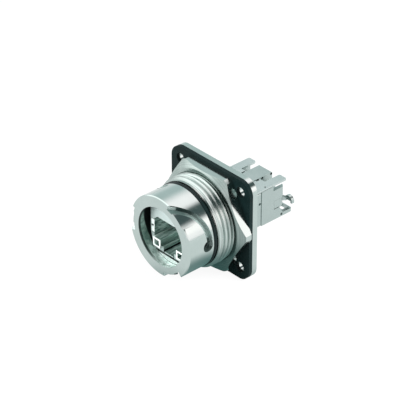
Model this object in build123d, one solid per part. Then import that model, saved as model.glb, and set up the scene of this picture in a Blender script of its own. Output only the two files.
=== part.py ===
from build123d import *
import math
import os

# Bulkhead Ethernet socket with a three-start bayonet coupling.
# Millimetres. The origin is on the barrel axis, in the front face of the flange gasket.
# The mating side faces -Y, the wired side +Y, and +Z is up.

# General fit
fit = 0.05                   # clearance of pieces that slide into each other
thread_gap = 0.1             # clearance of the nut around the crests of the thread

# Flange and gasket
flange_width = 32.0
flange_thickness = 2.0
flange_corner = 4.0
flange_edge = 0.3            # chamfer along the rear outline
hole_inset = 3.75            # edge of the flange to the middle of a fixing hole, both ways
hole_d = 3.2                 # for M3 screws
gasket_thickness = 1.2
gasket_bore_gap = 0.15       # around the crests of the thread

# Barrel
rim_distance = 18.6          # gasket face to the front rim
barrel_d = 24.8
bore_d = 19.6
lip_d = 18.0                 # the rim is turned in to this diameter
lip_length = 0.8
rim_chamfer = 0.25

# Threaded part, modelled as a plain cylinder over its crests
thread_crest_d = 26.9
thread_chamfer = 0.5
thread_land = 0.15           # between the groove of the sealing ring and the thread

# Sealing ring of the coupling
ring_section = 1.3
ring_outer_d = 25.2
ring_distance = 9.15         # gasket face to the middle of the ring
ring_groove_gap = 0.05
ring_sides = 10

# Bayonet: three grooves for the pins of the plug's coupling sleeve
starts = 3
entry_angle = 70.0           # where the first groove leaves the rim
lock_angle = 0.0             # where its pocket lies
groove_width = 2.1
groove_depth = 1.6
lock_distance = 11.3         # gasket face to the middle of the groove at its end
entry_curve = 2.6            # how much steeper the groove is at the rim
pocket_d = 3.4
pocket_distance = 11.95
detent_d = 2.7
detent_distance = 12.15      # middle of the hole that the pin snaps into
lead_in_angle = 36.0         # angular width of the tapered places at the rim
lead_in_start = 36.0
lead_in_depth = 1.3
lead_in_length = 3.6

# Panel nut
nut_width = 30.0             # across the flats
nut_thickness = 3.4
nut_corner_d = 33.8          # corners turned down to this diameter
nut_face_d = 29.2            # where the chamfer meets the front face
nut_chamfer_angle = 30.0
nut_countersink = 0.3

# Nose with the jack opening
nose_distance = 15.4         # gasket face to the face of the nose
nose_half_width = 7.4
nose_foot_half_width = 6.3
nose_shoulder_z = -2.6       # the sides slant inwards below this height
nose_bottom_z = -7.4
apron_setback = 0.4          # plate that closes the bore below the nose
apron_thickness = 1.5
port_width = 11.9
port_top_z = 3.1
port_floor_z = -3.9
port_depth = 12.4
port_corner_width = 1.35      # the upper corners of the opening are cut off at the front
port_corner_height = 1.15
latch_wide = 6.5
latch_wide_z = -5.9
latch_narrow = 4.3
latch_narrow_z = -7.0
latch_depth = 9.0
latch_slit = 0.3             # slits along both lower corners of the channel

# Contact carrier and springs
carrier_lip = 1.0            # nose wall in front of the carrier
carrier_thickness = 1.1
comb_depth = 0.5
comb_length = 2.4
contacts = 8
contact_pitch = 1.02
contact_width = 0.46
contact_thickness = 0.32
contact_front = 1.3          # carrier front to the bend of the springs
contact_bend = 0.55          # radius of that bend
contact_bend_steps = 6       # flats in that bend
contact_drop = 2.6           # port ceiling to the free ends
contact_run = 8.2            # length of the sloping arm
slot_margin = 0.14

# Side springs that touch the plug's shield
shield_height = 4.3
shield_z = -0.55             # middle of the tabs
shield_gap = 0.2             # above and below the tabs
shield_thickness = 0.25
shield_length = 7.0
shield_bulge = 0.7
shield_tab = 1.2             # how far a tab is folded over the face
shield_notch = 0.7

# Square guides on both sides of the latch channel
guide_width = 3.1
guide_height = 2.9
guide_wall = 0.6
guide_proud = 0.3
guide_hole_depth = 2.4

# Module body behind the flange
body_half_width = 7.8
body_bottom_z = -6.3
body_top_z = 4.85
body_end = 12.45             # gasket face to the joint with the rear cover
seat_depth = 1.0             # how far the body's disc reaches ahead of the gasket face
body_corner = 0.6
joint_groove = 0.3
dimple_d = 0.8
dimple_depth = 0.4
dimple_y = 11.7
dimple_z = 1.3

# Latch plate with its two prongs
plate_thickness = 0.6
plate_half_width = 7.7
plate_start = 4.0
plate_end = 16.4
prong_width = 2.9
prong_end = 22.2
prong_corner = 0.5
block_gap = 0.1
relief_width = 0.6           # slits in the plate beside the front of the wire block
relief_length = 1.2
relief_start = 14.8
plate_hole_d = 0.55
plate_hole_edge = 0.75       # side edge of the plate to the middle of the hole
plate_hole_y = 14.5

# Rear cover
cover_end = 21.6
cover_wall = 1.3
cover_low_top_z = 3.4        # top of the cheeks behind the latch plate
cover_step_y = 17.0
cover_corner = 1.6
window_y = 17.3              # front end of the side windows
window_top_z = -0.1
window_bottom_z = -2.75
rear_wall_top_z = 1.2
floor_thickness = 1.1
cheek_end = 19.45            # the low side walls slope down from here
cheek_slope = 1.4
tongue_end = 24.4
tongue_corner = 0.6
tie_slot_width = 2.65
tie_slot_length = 2.2
tie_slot_edge = 1.15
tie_slot_rear = 0.5
cover_dimple_y = 20.3
cover_dimple_z = -5.55

# Wire block between the cheeks
block_half_width = 2.6
block_top_z = 5.55
block_start = 14.0
block_end = 21.45
block_edge = 0.15
block_hole_d = 0.75
block_hole_inset = 0.43      # from the rear and the top
block_hole_spacing = 3.45
terminal_top_z = 0.9
terminal_front_end = 17.2    # the block reaches the floor up to here
terminal_shelf_end = 20.0
terminal_width = 0.35
terminal_length = 2.2
terminal_rise = 1.9
terminal_pitch = 1.7

# Tie yoke: a bar across both side windows that ends in two eyes for the cable tie
yoke_gap = 0.12
yoke_bar = 1.4
yoke_arm = 3.1
outlet_half_width = 3.4      # cable outlet through the rear wall
eye_width = 3.0
eye_wall = 0.55
eye_leg = 0.6
eye_drop = 1.2               # the eyes reach this much lower than the bar
eye_length = 1.0
eye_back = 0.3               # the eyes are closed at the rear
eye_end = 25.3
web_thickness = 0.6
web_rise = 0.85              # top of the web over the middle of the eye's arch

# Circuit board between the nose and the body
board_thickness = 1.0
board_half_width = 6.4
board_bottom_z = -5.2
board_top_z = 5.6


def put(name, part):
    part.label = name
    export_step(part, f"parts/{name}.step")


def side_plane(x=0.0):
    # Sketch plane for profiles that are extruded sideways: local x is Y, local y is Z.
    return Plane.YZ.offset(x)


def front_plane(y=0.0):
    # Sketch plane that faces the viewer: local x is X, local y is Z, extrusion runs to +Y.
    return Plane(origin=(0, y, 0), x_dir=(1, 0, 0), z_dir=(0, -1, 0))


def prism(sketch, y0, y1):
    # Extrude a front-view sketch from y0 to y1.
    return extrude(front_plane(y0) * sketch, amount=-(y1 - y0))


def box(x0, x1, y0, y1, z0, z1):
    return Pos((x0 + x1) / 2, (y0 + y1) / 2, (z0 + z1) / 2) * Box(x1 - x0, y1 - y0, z1 - z0)


def disc(d, y0, y1):
    return prism(Circle(d / 2), y0, y1)


def hole_places():
    h = flange_width / 2 - hole_inset
    return [(x, z) for x in (-h, h) for z in (-h, h)]


def flange_outline():
    return RectangleRounded(flange_width, flange_width, flange_corner)


def fixing_holes():
    return [Pos(x, z) * Circle(hole_d / 2) for x, z in hole_places()]


# Housing: flange, threaded part and bayonet barrel in one turned and milled piece
def groove_point(t):
    # Middle line of a groove, t = 0 at the rim and 1 at the pocket.
    angle = entry_angle + (lock_angle - entry_angle) * t
    rise = (rim_distance + 0.6 - lock_distance) * (1 - abs(1 - t) ** entry_curve)
    return angle, -(rim_distance + 0.6) + rise


def groove_section(t):
    radius = barrel_d / 2 - groove_depth / 2 + 0.5
    step = 0.01
    a0, y0 = groove_point(t - step)
    a1, y1 = groove_point(t + step)
    angle, y = groove_point(t)
    a = math.radians(angle)
    radial = Vector(math.cos(a), 0, math.sin(a))
    around = Vector(-math.sin(a), 0, math.cos(a))
    run = math.radians(a1 - a0) * barrel_d / 2
    tangent = (around * run + Vector(0, 1, 0) * (y1 - y0)).normalized()
    plane = Plane(origin=radial * radius + Vector(0, y, 0), x_dir=radial, z_dir=tangent)
    return plane * Rectangle(groove_depth + 1.0, groove_width * 0.92)


def bayonet_groove():
    steps = 8
    sections = [groove_section(k / steps) for k in range(steps + 1)]
    channel = loft(sections)
    a = math.radians(lock_angle)
    out = Vector(math.cos(a), 0, math.sin(a))
    floor = barrel_d / 2 - groove_depth
    pocket = Plane(origin=out * floor + Vector(0, -pocket_distance, 0), z_dir=out)
    hole = Plane(origin=out * (bore_d / 2 - 1) + Vector(0, -detent_distance, 0), z_dir=out)
    channel += extrude(pocket * Circle(pocket_d / 2), amount=groove_depth + 1)
    channel += extrude(hole * Circle(detent_d / 2), amount=(barrel_d - bore_d) / 2 + 2)
    return channel


def lead_in():
    # A tapered place at the rim, where the pin of the sleeve slides on before it meets the groove.
    r = barrel_d / 2
    rim = -rim_distance
    profile = Plane.XY * Polygon(
        (r - lead_in_depth, rim - 0.5), (r + 0.6, rim - 0.5),
        (r + 0.6, rim + lead_in_length), (r, rim + lead_in_length),
        (r - lead_in_depth, rim), align=None,
    )
    wedge = revolve(profile, axis=Axis.Y, revolution_arc=lead_in_angle)
    return Rot(0, -(lead_in_start + lead_in_angle), 0) * wedge


def bulkhead_housing():
    rim = -rim_distance
    r = barrel_d / 2
    rt = thread_crest_d / 2
    groove_half = ring_section / 2 + ring_groove_gap
    groove_r = ring_outer_d / 2 - ring_section - ring_groove_gap
    ring_y = -ring_distance
    thread_y = ring_y + groove_half + thread_land
    turned = Plane.XY * Polygon(
        (lip_d / 2, rim), (r - rim_chamfer, rim), (r, rim + rim_chamfer),
        (r, ring_y - groove_half), (groove_r, ring_y - groove_half),
        (groove_r, ring_y + groove_half), (r, ring_y + groove_half), (r, thread_y),
        (rt - thread_chamfer, thread_y), (rt, thread_y + thread_chamfer),
        (rt, gasket_thickness + flange_thickness),
        (bore_d / 2, gasket_thickness + flange_thickness), (bore_d / 2, rim + lip_length),
        (lip_d / 2, rim + lip_length), align=None,
    )
    housing = revolve(turned, axis=Axis.Y)
    rear = gasket_thickness + flange_thickness
    flange = prism(flange_outline(), gasket_thickness, rear)
    flange = chamfer(flange.edges().group_by(Axis.Y)[-1], flange_edge)
    flange -= disc(bore_d, gasket_thickness - 1, rear + 1)
    for hole in fixing_holes():
        flange -= prism(hole, gasket_thickness - 1, rear + 1)
    housing += flange
    groove = bayonet_groove()
    flat = lead_in()
    for k in range(starts):
        turn = Rot(0, -360 / starts * k, 0)
        housing -= turn * groove
        housing -= turn * flat
    return housing


def flange_gasket():
    gasket = prism(flange_outline(), 0, gasket_thickness)
    for hole in fixing_holes():
        gasket -= prism(hole, -1, gasket_thickness + 1)
    return gasket - disc(thread_crest_d + 2 * gasket_bore_gap, -1, gasket_thickness + 1)


def coupling_ring():
    # Its round section is simplified to flats.
    tube = ring_section / 2
    section = Pos(ring_outer_d / 2 - tube, -ring_distance) * RegularPolygon(
        radius=tube, side_count=ring_sides
    )
    return revolve(Plane.XY * section, axis=Axis.Y)


# Panel nut, with turned corners and a chamfered front
def panel_nut():
    front = -nut_thickness
    bore = thread_crest_d / 2 + thread_gap
    hexagon = RegularPolygon(radius=nut_width / 2, side_count=6, major_radius=False)
    nut = prism(hexagon, front, 0)
    slope = math.tan(math.radians(nut_chamfer_angle))
    corner = nut_corner_d / 2
    drop = (corner - nut_face_d / 2) * slope
    turned = Plane.XY * Polygon(
        (bore + nut_countersink, front), (nut_face_d / 2, front), (corner, front + drop),
        (corner, 0), (bore + nut_countersink, 0), (bore, -nut_countersink),
        (bore, front + nut_countersink), align=None,
    )
    return nut & revolve(turned, axis=Axis.Y)


# Nose: the die-cast front of the jack with its stepped opening
def nose_sketch():
    top = bore_d / 2
    outline = Polygon(
        (-nose_half_width, nose_shoulder_z), (-nose_foot_half_width, nose_bottom_z),
        (nose_foot_half_width, nose_bottom_z), (nose_half_width, nose_shoulder_z),
        (nose_half_width, top), (-nose_half_width, top), align=None,
    )
    return outline & Circle(bore_d / 2 - fit)


def rect(half, z0, z1):
    return Pos(0, (z0 + z1) / 2) * Rectangle(2 * half, z1 - z0)


def port_sketch():
    x = port_width / 2
    shoulder = port_top_z - port_corner_height
    corner_x = x - port_corner_width
    return Polygon(
        (-x, port_floor_z), (x, port_floor_z), (x, shoulder), (corner_x, port_top_z),
        (-corner_x, port_top_z), (-x, shoulder), align=None,
    )


def shield_pocket(side):
    x0 = port_width / 2
    half = shield_height / 2 + shield_gap
    front = -nose_distance
    pocket = box(x0 - 1, x0 + shield_thickness, front - 1, front + shield_length,
                 shield_z - half, shield_z + half)
    tab = box(x0 - 1, x0 + shield_tab, front - 1, front + shield_thickness,
              shield_z - half, shield_z + half)
    both = pocket + tab
    return both if side > 0 else mirror(both, about=Plane.YZ)


def guide_box(side, y0, y1):
    x0 = latch_wide / 2
    return box(*sorted((side * x0, side * (x0 + guide_width))), y0, y1,
               port_floor_z - guide_height, port_floor_z)


def port_frame():
    front = -nose_distance
    nose = prism(nose_sketch(), front, -seat_depth)
    nose -= prism(port_sketch(), front - 1, front + carrier_lip)
    nose -= prism(rect(port_width / 2, port_floor_z, port_top_z), front + carrier_lip - 0.01,
                  front + port_depth)
    nose -= prism(rect(latch_wide / 2, latch_wide_z, port_floor_z + 0.1),
                  front - 1, front + latch_depth)
    nose -= prism(rect(latch_narrow / 2, latch_narrow_z, latch_wide_z + 0.1),
                  front - 1, front + latch_depth)
    nose -= prism(rect(port_width / 2, port_top_z - 0.01, port_top_z + carrier_thickness),
                  front + carrier_lip, -seat_depth + 1)
    nose -= prism(rect(port_width / 2, port_floor_z, port_top_z),
                  front + port_depth - 0.5, -seat_depth + 1)
    for side in (-1, 1):
        nose -= shield_pocket(side)
        nose -= guide_box(side, front - 1, front + guide_hole_depth)
        x0 = side * latch_narrow / 2
        x1 = side * (latch_narrow / 2 - latch_slit)
        nose -= box(*sorted((x0, x1)), front - 1, front + latch_depth, nose_bottom_z - 1,
                    latch_narrow_z + 0.1)
    apron = Circle(bore_d / 2 - fit) & rect(bore_d, -bore_d, nose_bottom_z + 0.05)
    nose += prism(apron, front + apron_setback, front + apron_setback + apron_thickness)
    return nose


def contact_carrier():
    # Ceiling and back wall that hold the springs, with a comb between their free ends.
    front = -nose_distance + carrier_lip
    back = -nose_distance + port_depth
    half = port_width / 2
    carrier = box(-half, half, front, -seat_depth, port_top_z, port_top_z + carrier_thickness)
    carrier += box(-half, half, back, -seat_depth, port_floor_z, port_top_z)
    low = port_top_z - contact_drop - 0.1
    comb = box(-half, half, back - comb_length, back, low, port_top_z)
    for k in range(contacts):
        x = (k - (contacts - 1) / 2) * contact_pitch
        w = contact_width / 2 + slot_margin
        comb -= box(x - w, x + w, back - comb_length - 1, back - comb_depth, low - 1,
                    port_top_z)
    return carrier + comb


def contact_spring(k):
    # Runs forwards under the ceiling, turns back and slopes down to its free end.
    x = (k - (contacts - 1) / 2) * contact_pitch
    t = contact_thickness
    top = port_top_z - t / 2
    front = -nose_distance + carrier_lip + contact_front
    back = -nose_distance + port_depth - comb_depth
    middle_y, middle_z = front + contact_bend, top - contact_bend
    end_y, end_z = middle_y + contact_run, port_top_z - contact_drop

    def bend(radius):
        angles = [math.pi * step / contact_bend_steps for step in range(contact_bend_steps + 1)]
        return [(middle_y - radius * math.sin(a), middle_z + radius * math.cos(a)) for a in angles]

    strip = Polygon(
        (back, top + t / 2), *bend(contact_bend + t / 2), (end_y, end_z - t / 2),
        (end_y, end_z + t / 2), *reversed(bend(contact_bend - t / 2)), (back, top - t / 2),
        align=None,
    )
    return extrude(side_plane(x) * strip, amount=contact_width / 2, both=True)


def shield_spring(side):
    # Bowed side spring with a notched tab folded over the face of the nose.
    t = shield_thickness
    front = -nose_distance
    x = port_width / 2
    half = shield_height / 2
    length = shield_length
    strip = Polygon(
        (x, front), (x + shield_tab, front), (x + shield_tab, front + t), (x + t, front + t),
        (x + t, front + length), (x, front + length), (x, front + length - 0.6),
        (x - shield_bulge, front + length * 0.55), (x - shield_bulge, front + length * 0.4),
        (x, front + 0.8), align=None,
    )
    spring = Pos(0, 0, shield_z - half) * extrude(Plane.XY * strip, amount=2 * half)
    spring -= box(x + t + 0.1, x + shield_tab + 1, front - 1, front + t + 1,
                  shield_z - shield_notch / 2, shield_z + shield_notch / 2)
    return spring if side > 0 else mirror(spring, about=Plane.YZ)


def latch_guide(side):
    front = -nose_distance
    frame = guide_box(side, front - guide_proud, front + guide_hole_depth)
    cx = side * (latch_wide / 2 + guide_width / 2)
    cz = port_floor_z - guide_height / 2
    hole = Pos(cx, cz) * Rectangle(guide_width - 2 * guide_wall, guide_height - 2 * guide_wall)
    return frame - prism(hole, front - guide_proud - 1, front + guide_hole_depth - 0.5)


# Module body: a disc that fills the bore, and the square collar behind the flange
def body_outline(y0, y1):
    height = body_top_z - body_bottom_z
    sketch = Pos(0, (body_top_z + body_bottom_z) / 2) * RectangleRounded(
        2 * body_half_width, height, body_corner
    )
    return prism(sketch, y0, y1)


def dimple(side, y, z):
    mark = Plane(origin=(side * body_half_width, y, z), z_dir=(side, 0, 0))
    return extrude(mark * Circle(dimple_d / 2), amount=dimple_depth, both=True)


def module_body():
    rear = gasket_thickness + flange_thickness
    body = disc(bore_d - 2 * fit, -seat_depth + board_thickness, rear)
    ring = disc(bore_d - 2 * fit, -seat_depth, -seat_depth + board_thickness)
    ring -= box(-board_half_width, board_half_width, -seat_depth - 1,
                -seat_depth + board_thickness, board_bottom_z, board_top_z)
    body += ring
    body += body_outline(rear, body_end - joint_groove)
    body += box(-body_half_width + joint_groove, body_half_width - joint_groove, rear, body_end,
                body_bottom_z + joint_groove, body_top_z)
    for side in (-1, 1):
        body -= dimple(side, dimple_y, dimple_z)
    return body


def circuit_board():
    return box(-board_half_width + fit, board_half_width - fit, -seat_depth,
               -seat_depth + board_thickness, board_bottom_z + fit, board_top_z - fit)


# Latch plate: one sheet on top of the body, slit into two prongs at the rear
def latch_plate():
    inner = plate_half_width - prong_width
    beside = block_half_width + block_gap
    half = Polygon(
        (0, plate_start), (plate_half_width, plate_start), (plate_half_width, prong_end),
        (inner, prong_end), (inner, plate_end), (beside, plate_end), (beside, block_start),
        (0, block_start), align=None,
    )
    half = fillet(half.vertices().group_by(Axis.Y)[-1], prong_corner)
    half -= Pos(block_half_width, relief_start + relief_length / 2) * Rectangle(
        2 * relief_width, relief_length
    )
    half -= Pos(plate_half_width - plate_hole_edge, plate_hole_y) * Circle(plate_hole_d / 2)
    sheet = half + mirror(half, about=Plane.YZ)
    return Pos(0, 0, body_top_z) * extrude(Plane.XY * sheet, amount=plate_thickness)


# Rear cover: two cheeks, a low rear wall and a floor that runs out as the tie tongue
def rear_cover():
    half = body_half_width
    height = body_top_z - body_bottom_z
    outer = box(-half, half, body_end, cover_end, body_bottom_z, body_top_z)
    rear_edges = outer.edges().filter_by(Axis.Z).group_by(Axis.Y)[-1]
    cover = fillet(rear_edges, cover_corner)
    inner = box(-half + cover_wall, half - cover_wall, body_end - 1, cover_end - cover_wall,
                body_bottom_z + floor_thickness, body_top_z + 1)
    cover -= inner
    cover -= box(-half - 1, half + 1, cover_step_y, cover_end + 1, cover_low_top_z,
                 body_top_z + 1)
    cover -= box(-half + cover_wall, half - cover_wall, cover_end - 3, cover_end + 1,
                 rear_wall_top_z, body_top_z + 1)
    cover -= box(-outlet_half_width, outlet_half_width, cover_end - cover_wall - 1, cover_end + 1,
                 body_bottom_z + floor_thickness, rear_wall_top_z + 1)
    # Windows on both sides
    cover -= box(-half - 1, half + 1, window_y, cover_end + 1,
                 body_bottom_z + floor_thickness, window_top_z)
    tongue = box(-half, half, body_end + cover_wall, tongue_end, body_bottom_z,
                 body_bottom_z + floor_thickness)
    tongue = fillet(tongue.edges().filter_by(Axis.Z).group_by(Axis.Y)[-1], tongue_corner)
    cover += tongue
    cheek = Plane.YZ * Polygon(
        (body_end + cover_wall, body_bottom_z), (cheek_end + cheek_slope, body_bottom_z),
        (cheek_end + cheek_slope, body_bottom_z + floor_thickness),
        (cheek_end, window_bottom_z - yoke_gap),
        (body_end + cover_wall, window_bottom_z - yoke_gap), align=None,
    )
    for side in (-1, 1):
        wall = extrude(cheek, amount=side * cover_wall)
        cover += Pos(side * (half - cover_wall), 0, 0) * wall
        x0 = half - tie_slot_edge - tie_slot_width
        x1 = half - tie_slot_edge
        y1 = tongue_end - tie_slot_rear
        cover -= box(*sorted((side * x0, side * x1)), y1 - tie_slot_length, y1,
                     body_bottom_z - 1, body_bottom_z + floor_thickness + 1)
        cover -= dimple(side, cover_dimple_y, cover_dimple_z)
    return cover


def wire_block():
    # The block that stands up between the prongs, pressed onto the terminal block.
    half = block_half_width
    block = box(-half, half, block_start, block_end, terminal_top_z, block_top_z)
    block = chamfer(block.edges().filter_by(Axis.X).group_by(Axis.Z)[-1], block_edge)
    last = block_end - block_hole_inset
    for side in (-1, 1):
        for y in (last, last - block_hole_spacing):
            hole = Plane(origin=(side * half, y, block_top_z - block_hole_inset),
                         z_dir=(side, 0, 0))
            block -= extrude(hole * Circle(block_hole_d / 2), amount=1.0, both=True)
    return block


def terminal_block():
    # Plastic block on the floor of the cover, with a shelf over the end of the cable.
    half = body_half_width - cover_wall - fit
    floor = body_bottom_z + floor_thickness
    block = box(-half, half, body_end, terminal_front_end, floor, terminal_top_z)
    block += box(-half, half, body_end, terminal_shelf_end, window_top_z + 0.2, terminal_top_z)
    return block


def terminals():
    # Insulation displacement blades in two rows beside the wire block.
    blades = []
    for side in (-1, 1):
        for k in range(contacts // 2):
            y = block_start - 0.2 + terminal_pitch * k
            x = side * (block_half_width + body_half_width - cover_wall) / 2
            z0 = terminal_top_z
            z1 = terminal_top_z + terminal_rise
            blade = box(x - terminal_length / 2, x + terminal_length / 2,
                        y - terminal_width / 2, y + terminal_width / 2, z0, z1)
            blade -= box(x - 0.15, x + 0.15, y - 1, y + 1, z0 + 0.7, z1 + 1)
            blades.append(blade)
    return blades


def arch(cx, foot, r, leg):
    # A round arch on two straight legs, seen from the front.
    mid = foot + leg
    upper = Pos(cx, mid) * Circle(r) & Pos(cx, mid + r / 2) * Rectangle(2 * r, r)
    return upper + Pos(cx, (foot + mid) / 2) * Rectangle(2 * r, leg)


def tie_eye():
    # Hood on the right-hand side, closed at its rear, with the web that carries it.
    foot = window_bottom_z - eye_drop
    r = eye_width / 2
    cx = body_half_width - r
    front = eye_end - eye_length
    eye = prism(arch(cx, foot, r, eye_leg), front, eye_end)
    eye -= prism(arch(cx, foot - 1, r - eye_wall, eye_leg + 1), front - 1, eye_end - eye_back)
    web = Polygon(
        (cover_end - 0.6, window_bottom_z), (front + 0.2, foot + 0.1),
        (front + 0.2, foot + eye_leg + web_rise), (cover_end - 0.1, window_top_z - 0.6),
        (cover_end - 0.6, window_top_z - 0.6), align=None,
    )
    x0 = body_half_width - eye_width
    return eye + extrude(side_plane(x0) * web, amount=web_thickness)


def tie_yoke():
    half = body_half_width - 0.1
    z0 = window_bottom_z
    z1 = window_top_z - yoke_gap
    y0 = window_y + yoke_gap
    yoke = box(-half, half, y0, y0 + yoke_bar, z0, z1)
    for side in (-1, 1):
        arm = box(half - yoke_arm, half, y0, cover_end - 0.1, z0, z1)
        arm = fillet(arm.edges().filter_by(Axis.Z).group_by(Axis.Y)[-1].group_by(Axis.X)[-1],
                     cover_corner - 0.1)
        arm += tie_eye()
        yoke += arm if side > 0 else mirror(arm, about=Plane.YZ)
    return yoke


def main():
    os.makedirs("parts", exist_ok=True)
    put("bulkhead_housing", bulkhead_housing())
    put("flange_gasket", flange_gasket())
    put("coupling_ring", coupling_ring())
    put("panel_nut", panel_nut())
    put("port_frame", port_frame())
    put("contact_carrier", contact_carrier())
    for k in range(contacts):
        put(f"contact_spring_{k + 1}", contact_spring(k))
    put("shield_spring_left", shield_spring(-1))
    put("shield_spring_right", shield_spring(1))
    put("latch_guide_left", latch_guide(-1))
    put("latch_guide_right", latch_guide(1))
    put("module_body", module_body())
    put("circuit_board", circuit_board())
    put("latch_plate", latch_plate())
    put("rear_cover", rear_cover())
    put("wire_block", wire_block())
    put("terminal_block", terminal_block())
    for k, blade in enumerate(terminals()):
        put(f"terminal_{k + 1}", blade)
    put("tie_yoke", tie_yoke())


main()
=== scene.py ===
# %% [markdown]
# # A sealed Ethernet socket for a panel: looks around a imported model
# The real thing is a nickel-plated housing with a bayonet barrel, a hexagonal nut on a fine
# thread, a rubber gasket, a jack deep in the bore and a die-cast wiring module behind.
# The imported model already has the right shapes, so this lesson gives it finishes, rounds the
# edges that a mould or a tumbler would round, and adds what the model leaves out: the thread.
# Lengths are metres in the file and millimetres in the numbers, so `MM` joins the two.
# The barrel lies along Y with its mouth at the lowest y, and Z is up.

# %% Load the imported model
import math
import bmesh
import bpy
import numpy as np
from mathutils import Matrix, Vector


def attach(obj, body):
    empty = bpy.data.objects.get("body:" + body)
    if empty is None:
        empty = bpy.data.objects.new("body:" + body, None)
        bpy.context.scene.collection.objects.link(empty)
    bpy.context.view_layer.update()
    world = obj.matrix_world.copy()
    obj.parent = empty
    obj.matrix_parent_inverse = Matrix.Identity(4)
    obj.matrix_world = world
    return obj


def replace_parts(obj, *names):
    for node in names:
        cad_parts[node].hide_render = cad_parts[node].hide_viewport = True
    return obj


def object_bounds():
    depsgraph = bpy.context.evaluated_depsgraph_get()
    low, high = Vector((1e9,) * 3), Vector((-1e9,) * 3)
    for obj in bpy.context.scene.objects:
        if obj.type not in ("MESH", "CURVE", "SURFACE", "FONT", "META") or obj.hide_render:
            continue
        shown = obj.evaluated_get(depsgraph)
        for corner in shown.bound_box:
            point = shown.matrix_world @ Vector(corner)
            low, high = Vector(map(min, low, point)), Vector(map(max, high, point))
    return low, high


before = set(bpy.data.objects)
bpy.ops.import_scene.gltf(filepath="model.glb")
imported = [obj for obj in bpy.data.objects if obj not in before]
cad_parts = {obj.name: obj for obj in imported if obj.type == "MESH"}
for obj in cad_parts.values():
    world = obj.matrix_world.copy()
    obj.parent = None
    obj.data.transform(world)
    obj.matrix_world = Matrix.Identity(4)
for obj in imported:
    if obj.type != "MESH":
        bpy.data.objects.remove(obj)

MM = 0.001
X, Y, Z = range(3)


def plain_box(corners):
    """Two corners as plain lists of numbers."""
    return [[float(value) for value in corner] for corner in corners]


cad_box = plain_box(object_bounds())
print("packed model, mm:", np.round(np.array(cad_box) / MM, 2).tolist())

# %% [markdown]
# ## The camera
# A long lens from the right, the front and above shows the barrel, the nut and the module at
# once. Its place is worked out from two angles and a distance, and the camera's own axes are
# written as a matrix, because that needs no target object and no turning by hand.

# %% Set the camera
AZIMUTH, ELEVATION = math.radians(47.553), math.radians(32.672)
DISTANCE, LENS, SENSOR = 587.97, 180.72, 36
SLIDE_RIGHT, SLIDE_UP = -0.009, 0.682

right = Vector((math.cos(AZIMUTH), math.sin(AZIMUTH), 0))
back = Vector((math.sin(AZIMUTH) * math.cos(ELEVATION),
               -math.cos(AZIMUTH) * math.cos(ELEVATION), math.sin(ELEVATION)))
up = back.cross(right)
camera = bpy.data.objects.new("camera", bpy.data.cameras.new("camera"))
camera.data.sensor_width, camera.data.lens = SENSOR, LENS
camera.data.clip_start, camera.data.clip_end = 0.01, 10
place = (back * DISTANCE + right * SLIDE_RIGHT + up * SLIDE_UP) * MM
turn = Matrix((right, up, back)).transposed().to_4x4()
camera.matrix_world = Matrix.Translation(place) @ turn
bpy.context.collection.objects.link(camera)
bpy.context.scene.camera = camera
bpy.context.scene.view_settings.view_transform = "Standard"
print("camera at, mm:", [round(v / MM, 1) for v in place])

# %% [markdown]
# ## Two helpers for surfaces
# A surface here is a grid of points worked out with numpy. Joining each point to its neighbours
# gives the faces, and a grid can close in either direction, as a tube or a ring does.
# `foreach_set` hands the whole array to Blender at once, which is quicker than a loop.

# %% Turn grids of points into objects
def grid_faces(rows, columns, close_rows=False, close_columns=False):
    """Corner numbers of the quads between neighbouring points of a grid."""
    row, column = np.meshgrid(np.arange(rows - (not close_rows)),
                              np.arange(columns - (not close_columns)), indexing="ij")
    next_row, next_column = (row + 1) % rows, (column + 1) % columns
    corners = [row * columns + column, row * columns + next_column,
               next_row * columns + next_column, next_row * columns + column]
    return np.stack(corners, -1).reshape(-1, 4)


def mesh_object(name, points, faces):
    """An object from an array of points in millimetres and an array of quads."""
    mesh = bpy.data.meshes.new(name)
    mesh.vertices.add(len(points))
    mesh.vertices.foreach_set("co", (np.asarray(points) * MM).astype(np.float32).ravel())
    mesh.loops.add(faces.size)
    mesh.loops.foreach_set("vertex_index", faces.astype(np.int32).ravel())
    mesh.polygons.add(len(faces))
    mesh.polygons.foreach_set("loop_start", np.arange(0, faces.size, 4, dtype=np.int32))
    mesh.update(calc_edges=True)
    mesh.validate()
    thing = bpy.data.objects.new(name, mesh)
    bpy.context.collection.objects.link(thing)
    return thing


# %% [markdown]
# ## Shader nodes in few words
# A shader is a graph of small nodes. Each helper here adds one node and hands back its output,
# so a formula for a colour reads from the inside out, as it would in plain Python.

# %% Add nodes and join them
def add_node(tree, kind, inputs=(), **settings):
    """A shader node, its settings, and its inputs, each a value or another node's output."""
    node = tree.nodes.new("ShaderNode" + kind)
    for key, value in settings.items():
        setattr(node, key, value)
    for key, value in dict(inputs).items():
        if isinstance(value, bpy.types.NodeSocket):
            tree.links.new(value, node.inputs[key])
        else:
            node.inputs[key].default_value = value
    return node


def empty_tree(owner):
    """The node tree of a material or a world, with its first nodes taken out."""
    owner.use_nodes = True
    owner.node_tree.nodes.clear()
    return owner.node_tree


def object_place(tree):
    """Object coordinates. Every piece sits at the origin, so all pieces share them."""
    return add_node(tree, "TexCoord").outputs["Object"]


def xyz(tree, place):
    """The three axes of a place."""
    return add_node(tree, "SeparateXYZ", {0: place}).outputs


def maths(tree, operation, *values):
    """The result of a Math node."""
    return add_node(tree, "Math", dict(enumerate(values)), operation=operation).outputs[0]


def mix_colour(tree, factor, first, second, blend="MIX"):
    """A blend of two colours by a factor."""
    return add_node(tree, "Mix", {0: factor, 6: first, 7: second},
                    data_type="RGBA", blend_type=blend).outputs[2]


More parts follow.
